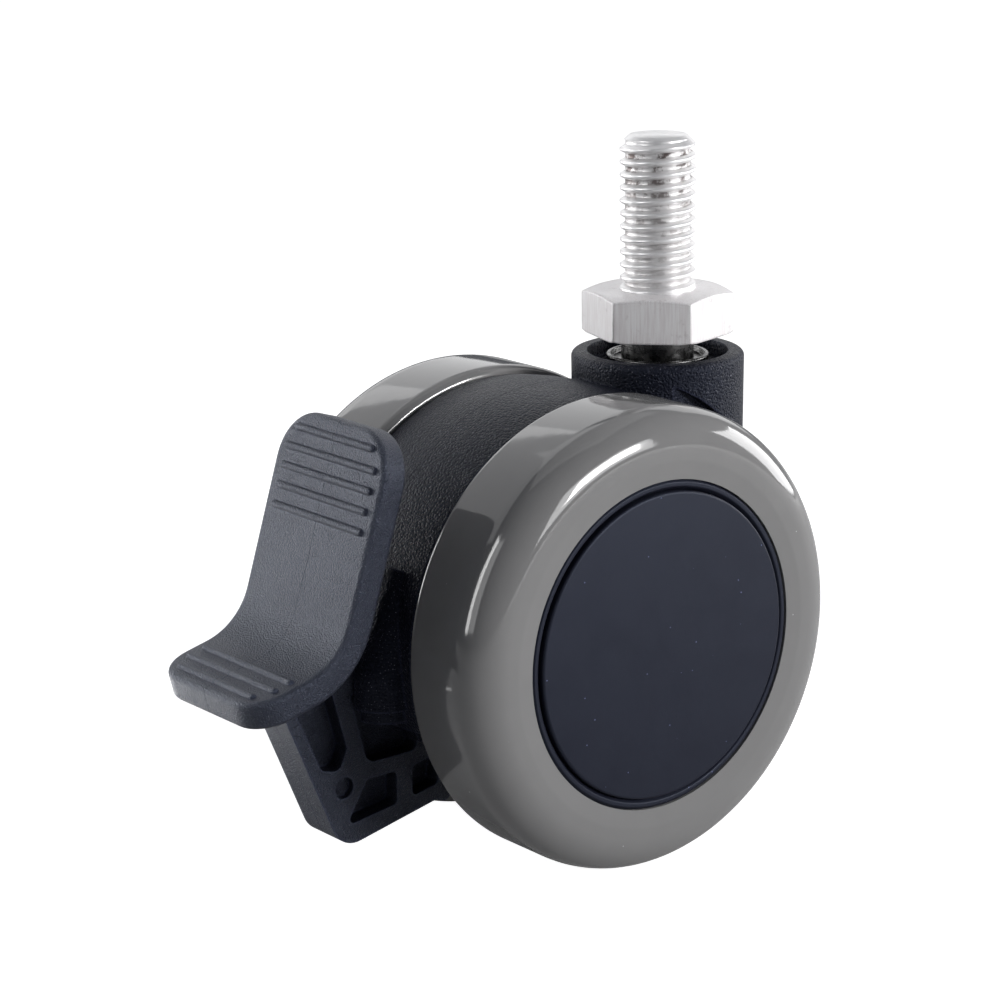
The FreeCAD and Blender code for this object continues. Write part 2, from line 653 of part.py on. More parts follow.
def arm_pockets():
    """Weight-saving pockets moulded into both sides of the arm, leaving a thin web."""
    outlines = [
        [(-52.6, -5.2, 0.8), (-47.6, -16.6, 1.2), (-44.2, -17.6, 1.6), (-42.7, -14.0, 1), (-45.3, -4.4, 0.8)],
        [(-41.9, -5.2, 0.8), (-38.9, -17.4, 2.2), (-28.6, -17.3, 1.2), (-30.6, -12.4, 1), (-32.6, -6.4, 1)],
        [(-39.0, -20.0, 0.8), (-43.2, -26.9, 0.8), (-33.2, -25.4, 0.8), (-33.2, -20.0, 0.8)],
        [(-30.2, -20.0, 0.8), (-30.2, -25.0, 0.8), (-25.2, -24.0, 0.8), (-24.6, -18.6, 0.8)],
    ]
    depth = d.arm_half - d.arm_web / 2
    pockets = []
    for side in SIDES.values():
        middle = (d.arm_half - depth / 2) * side
        for k, corners in enumerate(outlines):
            pockets.append(upright_plate(f"pocket_{k}", corners, depth / 2, middle))
    return pockets


def grip_bars():
    """Rounded grip bars across the upper plate and the step, the outermost ones shorter."""
    bars = []
    for upper, length, start, spacing, count in (
            (True, d.upper_length, 2.9, 3.15, 5), (False, d.step_length, 2.6, 2.9, 3)):
        for k in range(count):
            half = d.grip_half if k else d.short_grip_half
            bars += grip_bar(length - start - spacing * k, upper, half)
    return bars


def grip_bar(along, upper, half):
    x, z = plate_line(along, size(0.1), upper)
    middle = shift(AXLE, x=x, z=z)
    ends = [sphere(d.grip_radius, shift(middle, y=half * side)) for side in SIDES.values()]
    return [bar_across(d.grip_radius, half, middle), *ends]


def pedal():
    """S-shaped pedal and its ribbed brake arm, moulded in one piece."""
    arm = cut("arm", arm_blank(), arm_pockets())
    toe = bar_across(d.toe_radius, d.arm_half, shift(AXLE, -24.0, 0, -25.6))
    solid = fuse("pedal_solid", [pedal_plate(), arm, toe, *grip_bars()])
    pivot = shift(AXLE, x=-d.pivot_back, z=-d.pivot_down)
    bar = shift(AXLE, x=-d.bar_back, z=d.bar_up)
    holes = [bar_across(d.pin_radius + d.running_play, d.arm_half + 1, pivot),
             bar_across(d.bar_radius, d.arm_half + 1, bar)]
    for side in SIDES.values():
        at = shift(AXLE, -43.4, (d.arm_half - d.dimple_depth / 2) * side, -20.4)
        holes.append(bar_across(d.dimple_radius, d.dimple_depth / 2, at))
    return named(cut("pedal_bored", solid, holes), "pedal")


def detent_spring():
    """Flat spring band round the axle boss whose nose rests by the brake lug."""
    lug_edge = d.bar_back - d.bar_radius - d.lug_wall
    lean = math.pi - 0.12
    loops = []
    for inset in (size(0), d.spring_thick):
        tip = lug_edge - d.spring_gap - inset * 1.8
        ring = d.axle_boss + d.spring_thick + 0.05 - inset
        spread = math.acos(ring.value / tip.value)
        corners = [(tip * math.cos(lean), tip * math.sin(lean), d.spring_thick + 0.1 - inset)]
        for turn in (spread, -spread):
            corners.append((ring * math.cos(lean + turn), ring * math.sin(lean + turn)))
        nose = upright_plate("loop_nose", corners, d.spring_half)
        loops.append(fuse("loop", [nose, bar_across(ring, d.spring_half, AXLE)]))
    return named(cut("spring_band", loops[0], [loops[1]]), "detent_spring")


# ---- assembly ----------------------------------------------------------------------

def sub_parts():
    pieces = [threaded_stem(), dust_washer(), stem_clip(), *swivel_bearing()]
    pieces += [housing(), lower_bush(), boss_plug(), axle(), pedal(), detent_spring()]
    pivot = shift(AXLE, x=-d.pivot_back, z=-d.pivot_down)
    bar = shift(AXLE, x=-d.bar_back, z=d.bar_up)
    pieces.append(named(bar_across(d.pin_radius, d.cheek_half, pivot), "pivot_pin"))
    pieces.append(named(bar_across(d.bar_radius, d.bar_half, bar), "brake_bar"))
    for name, side in SIDES.items():
        pieces += [axle_spacer(name, side), axle_clip(name, side), wheel_core(name, side),
                   tread(name, side), hub_cap(name, side), brake_ring(name, side)]
        pieces += hub_bearing(name, side)
    return pieces


def check_and_write(pieces):
    doc.recompute()
    failed = [item.Label for item in doc.Objects if {"Invalid", "Error"} & set(item.State)]
    failed += [item.Label for item in pieces if item.Shape.isNull() or not item.Shape.isValid()]
    if failed:
        raise RuntimeError(f"pieces that did not build: {failed}")
    os.makedirs("parts", exist_ok=True)
    for item in pieces:
        item.Shape.exportStep(f"parts/{item.Label}.step")


check_and_write(sub_parts())
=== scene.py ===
import json
import math

import bmesh
import bpy
from mathutils import Matrix, Vector

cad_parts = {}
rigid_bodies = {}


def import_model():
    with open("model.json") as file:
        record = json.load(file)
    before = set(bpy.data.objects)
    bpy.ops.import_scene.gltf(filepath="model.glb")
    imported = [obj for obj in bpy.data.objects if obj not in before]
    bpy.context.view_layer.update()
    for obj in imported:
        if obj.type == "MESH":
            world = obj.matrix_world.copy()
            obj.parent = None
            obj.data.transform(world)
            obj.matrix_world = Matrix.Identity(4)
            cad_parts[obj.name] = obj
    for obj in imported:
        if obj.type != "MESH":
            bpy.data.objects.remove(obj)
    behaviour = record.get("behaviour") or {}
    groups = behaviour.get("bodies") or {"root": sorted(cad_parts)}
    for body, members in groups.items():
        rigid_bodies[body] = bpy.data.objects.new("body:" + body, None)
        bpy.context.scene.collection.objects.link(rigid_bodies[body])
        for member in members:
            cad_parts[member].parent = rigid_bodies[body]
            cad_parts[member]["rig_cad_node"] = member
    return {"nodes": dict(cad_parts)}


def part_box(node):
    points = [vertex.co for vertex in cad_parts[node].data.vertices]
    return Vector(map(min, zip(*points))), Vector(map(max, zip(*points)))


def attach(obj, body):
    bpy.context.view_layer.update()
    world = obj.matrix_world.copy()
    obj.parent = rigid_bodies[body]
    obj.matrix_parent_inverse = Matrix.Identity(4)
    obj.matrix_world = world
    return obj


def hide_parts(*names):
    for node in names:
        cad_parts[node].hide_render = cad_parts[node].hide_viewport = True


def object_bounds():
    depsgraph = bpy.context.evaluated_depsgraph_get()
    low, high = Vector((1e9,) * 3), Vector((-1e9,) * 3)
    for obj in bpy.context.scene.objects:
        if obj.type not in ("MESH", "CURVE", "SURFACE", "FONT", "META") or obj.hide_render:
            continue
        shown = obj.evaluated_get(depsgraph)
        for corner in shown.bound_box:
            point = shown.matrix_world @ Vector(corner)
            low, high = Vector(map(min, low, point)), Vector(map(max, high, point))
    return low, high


# Looks of the twin-wheel chair caster: turned pieces are rebuilt finer than the CAD, the
# stem gets a real helical thread, and every piece gets a procedural finish.

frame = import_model()
NODES = frame["nodes"]
CAD_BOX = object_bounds()
MM = 0.001
SIDES = {"left": 1, "right": -1}

# ---- sizes read from the frame, in millimetres ---------------------------------------


def low(node, axis):
    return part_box(node)[0][axis] / MM


def high(node, axis):
    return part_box(node)[1][axis] / MM


AXLE = sum(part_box("axle"), Vector()) / 2
WHEEL_RADIUS = (high("tread_left", 0) - low("tread_left", 0)) / 2
WHEEL_INNER = low("tread_left", 1)
WHEEL_OUTER = high("tread_left", 1)
CAP_RADIUS = (high("hub_cap_left", 0) - low("hub_cap_left", 0)) / 2
CAP_FACE = high("hub_cap_left", 1)
CORE_RADIUS = (high("wheel_core_left", 0) - low("wheel_core_left", 0)) / 2
HUB_RADIUS = (high("hub_outer_ring_left", 0) - low("hub_outer_ring_left", 0)) / 2
THREAD_TOP = high("threaded_stem", 2)
SHANK_END = low("threaded_stem", 2)

# ---- small geometry helpers ----------------------------------------------------------


def rounded(corners, steps=8):
    """Outline points from corners given as (a, b) or (a, b, rounding radius)."""
    points = []
    for index, corner in enumerate(corners):
        here = Vector(corner[:2])
        if len(corner) == 2:
            points.append(here)
            continue
        before = (Vector(corners[index - 1][:2]) - here).normalized()
        after = (Vector(corners[(index + 1) % len(corners)][:2]) - here).normalized()
        half = before.angle(after) / 2
        reach = corner[2] / math.tan(half)
        centre = here + (before + after).normalized() * corner[2] / math.sin(half)
        start = here + before * reach - centre
        sweep = (here + after * reach - centre).angle_signed(start)
        for step in range(steps + 1):
            turn = Matrix.Rotation(sweep * step / steps, 2)
            points.append(centre + turn @ start)
    return points


MERGE = 1e-7                       # metres


def finish_mesh(name, verts, faces, body, sharp=35.0):
    """A smooth-shaded piece that rides on a body, with creases kept where faces turn hard."""
    mesh = bpy.data.meshes.new(name)
    mesh.from_pydata(verts, [], faces)
    work = bmesh.new()
    work.from_mesh(mesh)
    bmesh.ops.remove_doubles(work, verts=work.verts, dist=MERGE)
    bmesh.ops.recalc_face_normals(work, faces=work.faces)
    for face in work.faces:
        face.smooth = True
    for edge in work.edges:
        if len(edge.link_faces) == 2:
            edge.smooth = edge.calc_face_angle() < math.radians(sharp)
    work.to_mesh(mesh)
    work.free()
    piece = bpy.data.objects.new(name, mesh)
    bpy.context.scene.collection.objects.link(piece)
    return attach(piece, body)


def lathe(name, outline, body, centre, axis, side=1, segments=192):
    """A turned piece: closed outline of (radius, distance along the axis), in millimetres."""
    verts, faces = [], []
    count = len(outline)
    for k in range(segments):
        angle = 2 * math.pi * k / segments
        c, s = math.cos(angle), math.sin(angle)
        for radius, along in outline:
            flat = (radius * c, radius * s)
            spot = (flat[0], along * side, flat[1]) if axis == "Y" else (*flat, along)
            verts.append(centre + Vector(spot) * MM)
    for k in range(segments):
        row, following = k * count, (k + 1) % segments * count
        for i in range(count):
            j = (i + 1) % count
            faces.append((row + i, row + j, following + j, following + i))
    return finish_mesh(name, verts, faces, body)


# ---- material helpers ----------------------------------------------------------------


class Finish:
    """A node material built around one Principled shader, in object coordinates."""

    def __init__(self, name, **values):
        self.material = bpy.data.materials.new(name)
        self.material.use_nodes = True
        self.tree = self.material.node_tree
        self.shader = self.tree.nodes["Principled BSDF"]
        self.coords = self.add("ShaderNodeTexCoord").outputs["Object"]
        self.normal = None
        for key, value in values.items():
            self.shader.inputs[key.replace("_", " ")].default_value = value

    def add(self, kind, inputs=None, **settings):
        node = self.tree.nodes.new(kind)
        for key, value in settings.items():
            setattr(node, key, value)
        for key, value in (inputs or {}).items():
            self.feed(node.inputs[key], value)
        return node

    def feed(self, socket, value):
        if isinstance(value, bpy.types.NodeSocket):
            self.tree.links.new(value, socket)
        else:
            socket.default_value = value

    def noise(self, size_mm, detail=3.0, roughness=0.55, coords=None):
        """Soft random variation with features about this size."""
        node = self.add("ShaderNodeTexNoise", {
            "Vector": coords or self.coords, "Scale": 1 / (size_mm * MM),
            "Detail": detail, "Roughness": roughness})
        return node.outputs["Fac"]

    def cells(self, size_mm, feature="F1"):
        """Distance from scattered points, for pits, grains and specks."""
        node = self.add("ShaderNodeTexVoronoi", {
            "Vector": self.coords, "Scale": 1 / (size_mm * MM)}, feature=feature)
        return node.outputs["Distance"]

    def math(self, operation, first, second=0.0, clamp=False):
        node = self.add("ShaderNodeMath", {0: first, 1: second}, operation=operation)
        node.use_clamp = clamp
        return node.outputs[0]

    def ramp(self, value, start, stop, low_value=0.0, high_value=1.0):
        """Smoothly remap a value from start..stop to low..high."""
        node = self.add("ShaderNodeMapRange", {
            "Value": value, "From Min": start, "From Max": stop,
            "To Min": low_value, "To Max": high_value}, interpolation_type="SMOOTHSTEP")
        return node.outputs["Result"]

    def blend(self, share, first, second):
        """Mix two colours by a share."""
        node = self.add("ShaderNodeMix", data_type="RGBA")
        self.feed(node.inputs[0], share)
        self.feed(node.inputs[6], first)
        self.feed(node.inputs[7], second)
        return node.outputs[2]

    def axis(self, letter):
        node = self.add("ShaderNodeSeparateXYZ", {"Vector": self.coords})
        return node.outputs[letter]

    def flat_coords(self):
        """Coordinates without their height, so that their length is the distance from Z."""
        return self.stretched(0.0)

    def stretched(self, height_scale):
        """Coordinates with the height scaled."""
        node = self.add("ShaderNodeMapping", {
            "Vector": self.coords, "Scale": (1.0, 1.0, height_scale)})
        return node.outputs[0]

    def bump(self, height, depth_mm, strength=1.0):
        """Stack a bump of this depth on what the surface already has."""
        node = self.add("ShaderNodeBump", {
            "Height": height, "Distance": depth_mm * MM, "Strength": strength})
        if self.normal:
            self.feed(node.inputs["Normal"], self.normal)
        self.normal = node.outputs["Normal"]

    def soften_edges(self, radius_mm):
        node = self.add("ShaderNodeBevel", {"Radius": radius_mm * MM}, samples=4)
        self.normal = node.outputs["Normal"]

    def edges(self, radius_mm):
        """Share of one along the rim of sharp edges, zero on open faces."""
        bevel = self.add("ShaderNodeBevel", {"Radius": radius_mm * MM}, samples=6)
        true_normal = self.add("ShaderNodeNewGeometry").outputs["Normal"]
        match = self.add("ShaderNodeVectorMath", {0: bevel.outputs["Normal"], 1: true_normal},
                         operation="DOT_PRODUCT")
        return self.ramp(match.outputs["Value"], 0.90, 0.995, 1.0, 0.0)

    def set(self, key, value):
        self.feed(self.shader.inputs[key], value)

    def done(self):
        if self.normal:
            self.set("Normal", self.normal)
        return self.material


def grey(value, tint=(1.0, 1.0, 1.0)):
    return (*[value * part for part in tint], 1.0)


# ---- materials -----------------------------------------------------------------------

# thread, in millimetres
PITCH = 25.4 / 12
CREST = 6.25
ROOT = 5.35

# tints
COOL = (0.75, 0.85, 1.6)
# tint of the painted glints in the moulded grain
GLINT_TINT = (0.95, 0.97, 1.15)
PLATED = (1.0, 0.985, 0.99)
STAINED = (1.0, 0.88, 0.9)
BROWN = (1.0, 0.78, 0.74)
WARM = (1.01, 1.0, 1.0)
IVORY = (1.0, 0.98, 0.92)
BLUE_SHEEN = (0.70, 0.78, 1.0, 1.0)


def moulded_black(name, shade, grain_mm, grain_depth, roughness, gloss, softness):
    """Glass-filled nylon with a spark-eroded grain and a parting line down the middle, with painted
    glints in the grain and a painted highlight along the edges.
    """
    finish = Finish(name, IOR=1.5, Specular_Tint=BLUE_SHEEN, Specular_IOR_Level=gloss)
    finish.soften_edges(softness)
    broad = finish.noise(9.0, 2.0)
    fine = finish.noise(grain_mm, 3.0, 0.65)
    pits = finish.ramp(finish.cells(grain_mm * 1.4), 0.05, 0.65)
    wander = finish.ramp(broad, 0.3, 0.7, -0.2 * MM, 0.2 * MM)
    across = finish.math("ABSOLUTE", finish.math("ADD", finish.axis("Y"), wander))
    seam = finish.ramp(across, 0.05 * MM, 0.16 * MM, 1.0, 0.0)
    base = finish.blend(broad, grey(shade * 0.85, COOL), grey(shade * 1.2, COOL))
    # Painted glints: scattered light dots in the grain's base colour stand in for light catching its
    # facets.
    glint_spots = finish.ramp(finish.cells(grain_mm * 1.1), 0.10, 0.34, 1.0, 0.0)
    painted_glints = finish.math("MULTIPLY", glint_spots, finish.ramp(fine, 0.48, 0.66), clamp=True)
    with_painted_glints = finish.blend(painted_glints, base, grey(shade * 26.0, GLINT_TINT))
    # Painted highlight: the base colour turns lighter along the edges, standing in for the sheen on
    # their fillets.
    painted_edge_highlight = finish.math("MULTIPLY", finish.edges(0.8), finish.ramp(fine, 0.3, 0.6, 0.3, 1.0))
    finish.set("Base Color", finish.blend(painted_edge_highlight, with_painted_glints, grey(shade * 4.0, COOL)))
    scuffs = finish.ramp(finish.noise(2.5, 5.0, 0.7), 0.55, 0.75, 0.0, 0.08)
    grain_gloss = finish.ramp(fine, 0.3, 0.7, roughness - 0.09, roughness + 0.09)
    worn = finish.math("ADD", scuffs, finish.math("MULTIPLY", seam, 0.18))
    finish.set("Roughness", finish.math("ADD", grain_gloss, worn))
    finish.bump(seam, 0.06)
    finish.bump(finish.noise(grain_mm * 2.6, 2.0), grain_depth * 0.4)
    finish.bump(pits, grain_depth)
    finish.bump(fine, grain_depth * 1.3)
    return finish.done()


def smooth_black(name, shade, roughness):
    """Finely grained moulded nylon, as on the wheel centres and caps."""
    finish = Finish(name, IOR=1.48, Specular_Tint=BLUE_SHEEN, Specular_IOR_Level=0.34)
    finish.soften_edges(0.15)
    fine = finish.noise(0.22, 3.0, 0.6)
    specks = finish.ramp(finish.cells(2.6), 0.03, 0.045, 1.0, 0.0)
    base = finish.blend(finish.noise(14.0, 2.0), grey(shade * 0.9, COOL), grey(shade * 1.12, COOL))
    finish.set("Base Color", finish.blend(specks, base, grey(0.2, COOL)))
    handled = finish.noise(6.0, 4.0)
    finish.set("Roughness", finish.ramp(handled, 0.35, 0.65, roughness - 0.05, roughness + 0.05))
    finish.bump(fine, 0.02)
    return finish.done()


def soft_tyre(name):
    """Glossy grey polyurethane with faint flow marks and a few dust specks."""
    finish = Finish(name, IOR=1.6)
    flow = finish.noise(7.0, 3.0, 0.5)
    specks = finish.ramp(finish.cells(4.5), 0.02, 0.035, 1.0, 0.0)
    base = finish.blend(flow, grey(0.172, WARM), grey(0.192, WARM))
    finish.set("Base Color", finish.blend(specks, base, grey(0.42)))
    finish.set("Roughness", finish.ramp(finish.noise(3.0, 4.0), 0.3, 0.7, 0.05, 0.09))
    finish.bump(finish.noise(5.0, 2.0), 0.02)
    finish.bump(finish.noise(0.5, 3.0), 0.002)
    return finish.done()


def zinc(name, brightness, roughness, metal=1.0):
    """Bright zinc plating over turned steel, with a satin haze where it is less than all metal."""
    finish = Finish(name, Metallic=metal)
    blotches = finish.noise(3.0, 4.0, 0.6)
    plate = finish.blend(blotches, grey(brightness * 0.9), grey(brightness, (1.0, 0.99, 0.985)))
    finish.set("Base Color", plate)
    worn = finish.noise(1.2, 4.0)
    finish.set("Roughness", finish.ramp(worn, 0.3, 0.7, roughness - 0.06, roughness + 0.1))
    finish.bump(finish.noise(0.35, 4.0, 0.7), 0.012)
    return finish.done()


def plated_thread(name):
    """Satin zinc, darker in the thread's grooves: painted shade in every groove below the tip, and
    brownish dirt in patches, mostly near the tip.
    """
    finish = Finish(name, Metallic=0.6)
    flat = finish.add("ShaderNodeVectorMath", {0: finish.flat_coords()}, operation="LENGTH")
    from_axis, height = flat.outputs["Value"], finish.axis("Z")
    groove = finish.ramp(from_axis, (ROOT + 0.02) * MM, (ROOT + 0.45) * MM, 1.0, 0.0)
    below_tip = finish.ramp(height, (THREAD_TOP - 2.0) * MM, (THREAD_TOP - 1.3) * MM, 1.0, 0.0)
    depth = finish.math("MULTIPLY", groove, below_tip)
    near_tip = finish.ramp(height, 0.0, THREAD_TOP * MM, 0.15, 0.85)
    patches = finish.ramp(finish.noise(2.2, 4.0, 0.7), 0.46, 0.60)
    patchy = finish.math("MULTIPLY", patches, near_tip)
    # Painted shade of 0.2 in every groove below the tip, with patchy brownish dirt on top, more of it
    # towards the tip.
    groove_shade_and_dirt = finish.math("MULTIPLY", depth, finish.math("ADD", patchy, 0.2))
    metal = finish.blend(finish.noise(2.0, 4.0), grey(0.76), grey(0.86, (1.0, 0.98, 0.985)))
    finish.set("Base Color", finish.blend(groove_shade_and_dirt, metal, grey(0.10, BROWN)))
    finish.set("Roughness", finish.ramp(finish.noise(0.9, 4.0), 0.3, 0.7, 0.34, 0.46))
    finish.bump(finish.noise(0.3, 4.0, 0.7), 0.009)
    return finish.done()


def brushed_collar(name):
    """Satin zinc over the fine upright marks that forming leaves, with painted shade darkening the
    hexagon's edges.
    """
    finish = Finish(name, Metallic=0.12)
    marks = finish.noise(0.30, 3.0, 0.6, coords=finish.stretched(0.05))
    metal = finish.blend(finish.ramp(marks, 0.35, 0.65),
                         grey(0.74, (1.0, 0.955, 0.965)), grey(0.83, PLATED))
    stains = finish.ramp(finish.noise(2.6, 5.0, 0.7), 0.56, 0.72, 0.0, 0.4)
    stained = finish.blend(stains, metal, grey(0.42, STAINED))
    uneven = finish.ramp(finish.noise(0.8, 4.0), 0.35, 0.6, 0.35, 1.0)
    # Painted shade: the base colour darkens unevenly along the hexagon's edges.
    painted_edge_shade = finish.math("MULTIPLY", finish.edges(0.55), uneven)
    finish.set("Base Color", finish.blend(painted_edge_shade, stained, grey(0.14, (1.0, 0.86, 0.88))))
    finish.set("Roughness", finish.ramp(marks, 0.3, 0.7, 0.3, 0.44))
    finish.bump(marks, 0.03)
    return finish.done()


def acetal(name):
    """Off-white moulded acetal, slightly translucent."""
    finish = Finish(name, IOR=1.48, Subsurface_Weight=0.2, Subsurface_Scale=0.002)
    resin = finish.blend(finish.noise(4.0), grey(0.62, IVORY), grey(0.7, (1.0, 0.98, 0.93)))
    finish.set("Base Color", resin)
    finish.set("Roughness", finish.ramp(finish.noise(1.0), 0.3, 0.7, 0.32, 0.42))
    finish.bump(finish.noise(0.4), 0.01)
    return finish.done()


MATERIALS = {
    "zinc_steel": zinc("zinc_plated_steel", brightness=0.9, roughness=0.3, metal=0.8),
    "thread": plated_thread("zinc_plated_thread"),
    "collar": brushed_collar("zinc_plated_collar"),
    # Dark zinc: the dust washer's own dark finish, and on the kingpin a painted shade standing in for
    # the dark reflection of the boss's mouth around its neck.
    "dark_zinc_and_painted_shade": zinc("zinc_dark_and_painted_shade", brightness=0.10, roughness=0.26),
    "bearing_steel": zinc("bearing_steel_ground", brightness=0.6, roughness=0.16),
    "spring_steel": zinc("spring_steel_oiled", brightness=0.4, roughness=0.3),
    "black_housing": moulded_black("housing_nylon", shade=0.008, grain_mm=0.34, grain_depth=0.12,
                                   roughness=0.38, gloss=0.17, softness=0.8),
    "black_pedal": moulded_black("pedal_nylon", shade=0.009, grain_mm=0.22, grain_depth=0.11,
                                 roughness=0.42, gloss=0.70, softness=0.3),
    "black_cap": smooth_black("cap_nylon", shade=0.010, roughness=0.5),
    "bush_acetal": acetal("bush_acetal"),
    "grey_tread": soft_tyre("grey_polyurethane"),
}


def dress(piece, slot, finish=None):
    """Give a piece the finish kept under a slot's name, or a variant finish in its place."""
    piece.data.materials.clear()
    piece.data.materials.append(MATERIALS[finish or slot])


# ---- wheels --------------------------------------------------------------------------

TREAD_EYE = CAP_RADIUS + 1.8       # radius of the hole that the cap sits in
TREAD_LIP = 2.8                    # thickness of the tyre where it laps over the core
EYE_DISH = 0.35                    # how far the face sinks towards that hole
FACE_ROUND = 6.0
SHOULDER_ROUND = 6.2
INNER_ROUND = 1.6
CAP_ROUND = 0.45
CAP_THICK = 2.25
CAP_SKIN = 0.6                     # wall left behind the cap's hollow
SPIGOT_GAP = 1.34                  # from the bearing's outside to the cap's spigot
SPIGOT_WALL = 1.2
SPIGOT_LENGTH = 3.4


def tread(name, side):
    """Tyre with a rounded shoulder and a face that dishes slightly towards the cap."""
    bore = CORE_RADIUS
    outline = rounded([
        (bore, WHEEL_INNER), (WHEEL_RADIUS, WHEEL_INNER, INNER_ROUND),
        (WHEEL_RADIUS, WHEEL_OUTER, SHOULDER_ROUND), (bore - 1, WHEEL_OUTER, FACE_ROUND),
        (TREAD_EYE, WHEEL_OUTER - EYE_DISH), (TREAD_EYE, WHEEL_OUTER - TREAD_LIP),
        (bore, WHEEL_OUTER - TREAD_LIP)], steps=14)
    piece = lathe(f"tyre_{name}", outline, f"wheel_{name}", AXLE, "Y", side, segments=256)
    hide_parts(f"tread_{name}")
    dress(piece, "grey_tread")


def hub_cap(name, side):
    """Flat disc with a hollow spigot behind it."""
    spigot = HUB_RADIUS - SPIGOT_GAP
    back = CAP_FACE - CAP_THICK
    inside = spigot - SPIGOT_WALL
    outline = rounded([
        (0, CAP_FACE), (CAP_RADIUS, CAP_FACE, CAP_ROUND), (CAP_RADIUS, back), (spigot, back),
        (spigot, back - SPIGOT_LENGTH), (inside, back - SPIGOT_LENGTH), (inside, back - CAP_SKIN),
        (0, back - CAP_SKIN)])
    piece = lathe(f"cap_{name}", outline, f"wheel_{name}", AXLE, "Y", side)
    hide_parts(f"hub_cap_{name}")
    dress(piece, "black_cap")


def wheels():
    for name, side in SIDES.items():
        tread(name, side)
        hub_cap(name, side)


# ---- stem ----------------------------------------------------------------------------

TIP_CHAMFER = 1.5
THREAD_RELIEF = 0.3                # plain length above the collar
RIDGE_START, RIDGE_RISE = 0.2, 0.68   # shares of half a pitch: the flat root, then the flank
COLLAR_REACH = 11.0                # half the width across the hexagon's flats
COLLAR_HEIGHT = 7.4
COLLAR_TURN = math.radians(13.5)
COLLAR_BEVEL = 0.22
TOP_SLOPE, FOOT_SLOPE = 0.28, 0.41    # of the cones that cut the collar's corners


def thread_radius(turn, height):
    """Radius of the thread at a share of a full turn and a height above the collar."""
    phase = (height / PITCH - turn) % 1.0
    ridge = 1 - abs(2 * phase - 1)
    share = min(1.0, max(0.0, (ridge - RIDGE_START) / RIDGE_RISE))
    share = share * share * (3 - 2 * share)
    radius = ROOT + (CREST - ROOT) * share
    tip = CREST - TIP_CHAMFER + (THREAD_TOP - height)
    runout = THREAD_RELIEF + 0.5 * (CREST - ROOT) * (1 - share)
    foot = min(CREST, CREST + 1.2 * (THREAD_RELIEF - height))
    return min(radius if height > runout else foot, tip)


def threaded_post():
    """Right-hand thread with rounded crests and a chamfered tip."""
    around, per_turn = 120, 18
    rows = round(THREAD_TOP / PITCH * per_turn)
    verts, faces = [], []
    for row in range(rows + 1):
        height = THREAD_TOP * row / rows
        for k in range(around):
            angle = 2 * math.pi * k / around
            radius = thread_radius(k / around, height)
            verts.append(Vector((radius * math.cos(angle), radius * math.sin(angle), height)) * MM)
    for row in range(rows):
        for k in range(around):
            a, b = row * around + k, row * around + (k + 1) % around
            faces.append((a, b, b + around, a + around))
    faces.append(tuple(range(rows * around, (rows + 1) * around)))
    piece = finish_mesh("threaded_post", verts, faces, "stem", 50.0)
    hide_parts("threaded_stem")
    dress(piece, "zinc_steel", "thread")


def hex_reach(angle):
    """Distance from the axis to the hexagon's side at an angle."""
    sector = (angle - COLLAR_TURN) % (math.pi / 3) - math.pi / 6
    return COLLAR_REACH / math.cos(sector)


def hex_collar():
    """Hexagon with both ends turned to a cone, so that each flat ends in an arc."""
    per_flat = 24
    count = 6 * per_flat
    bore, top_land = CREST - 0.3, COLLAR_REACH - 0.6
    rings = [[] for _ in range(6)]
    for k in range(count):
        angle = COLLAR_TURN + 2 * math.pi * k / count
        reach = hex_reach(angle)
        top_drop = max(0.0, (reach - top_land) * TOP_SLOPE)
        foot_rise = max(0.0, (reach - (COLLAR_REACH + 1.0)) * FOOT_SLOPE)
        profile = [(bore, 0), (top_land, 0), (reach, -top_drop), (reach, foot_rise - COLLAR_HEIGHT),
                   (COLLAR_REACH - 0.4, -COLLAR_HEIGHT), (bore, -COLLAR_HEIGHT)]
        for ring, (radius, height) in zip(rings, profile):
            ring.append(Vector((radius * math.cos(angle), radius * math.sin(angle), height)) * MM)
    verts = [vert for ring in rings for vert in ring]
    faces = []
    for level in range(len(rings)):
        following = (level + 1) % len(rings)
        for k in range(count):
            j = (k + 1) % count
            here, there = level * count, following * count
            faces.append((here + k, here + j, there + j, there + k))
    piece = finish_mesh("hex_collar", verts, faces, "stem", 20.0)
    bevel = piece.modifiers.new("rounded_edges", "BEVEL")
    bevel.width = COLLAR_BEVEL * MM
    bevel.segments = 3
    bevel.limit_method = "ANGLE"
    bevel.angle_limit = math.radians(18)
    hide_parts("threaded_stem")
    dress(piece, "zinc_steel", "collar")


def kingpin():
    """Turned neck and shank below the collar."""
    neck, shank = 6.0, 5.0
    neck_end, taper_end = -18.3, -19.3
    groove_top, groove_foot, groove_radius = -42.5, -43.6, shank - 0.7
    chamfer = 0.6
    outline = [(0, -COLLAR_HEIGHT), (neck, -COLLAR_HEIGHT), (neck, neck_end), (shank, taper_end),
               (shank, groove_top), (groove_radius, groove_top), (groove_radius, groove_foot),
               (shank, groove_foot), (shank, SHANK_END + chamfer), (shank - chamfer, SHANK_END),
               (0, SHANK_END)]
    piece = lathe("kingpin", outline, "stem", Vector(), "Z", 1, 128)
    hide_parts("threaded_stem")
    # The neck wears the dark zinc as painted shade, for the dark reflection of the boss's mouth around
    # it.
    dress(piece, "zinc_steel", "dark_zinc_and_painted_shade")


# ---- stage ---------------------------------------------------------------------------

AZIMUTH = math.radians(-38.55)
ELEVATION = math.radians(14.88)
ROLL = math.radians(-0.71)
DISTANCE = 0.4645                  # metres
LENS = 104.65                      # millimetres, on a 36 mm sensor
AIM_SHIFT = Vector((3.1, -2.11, 1.07)) * MM

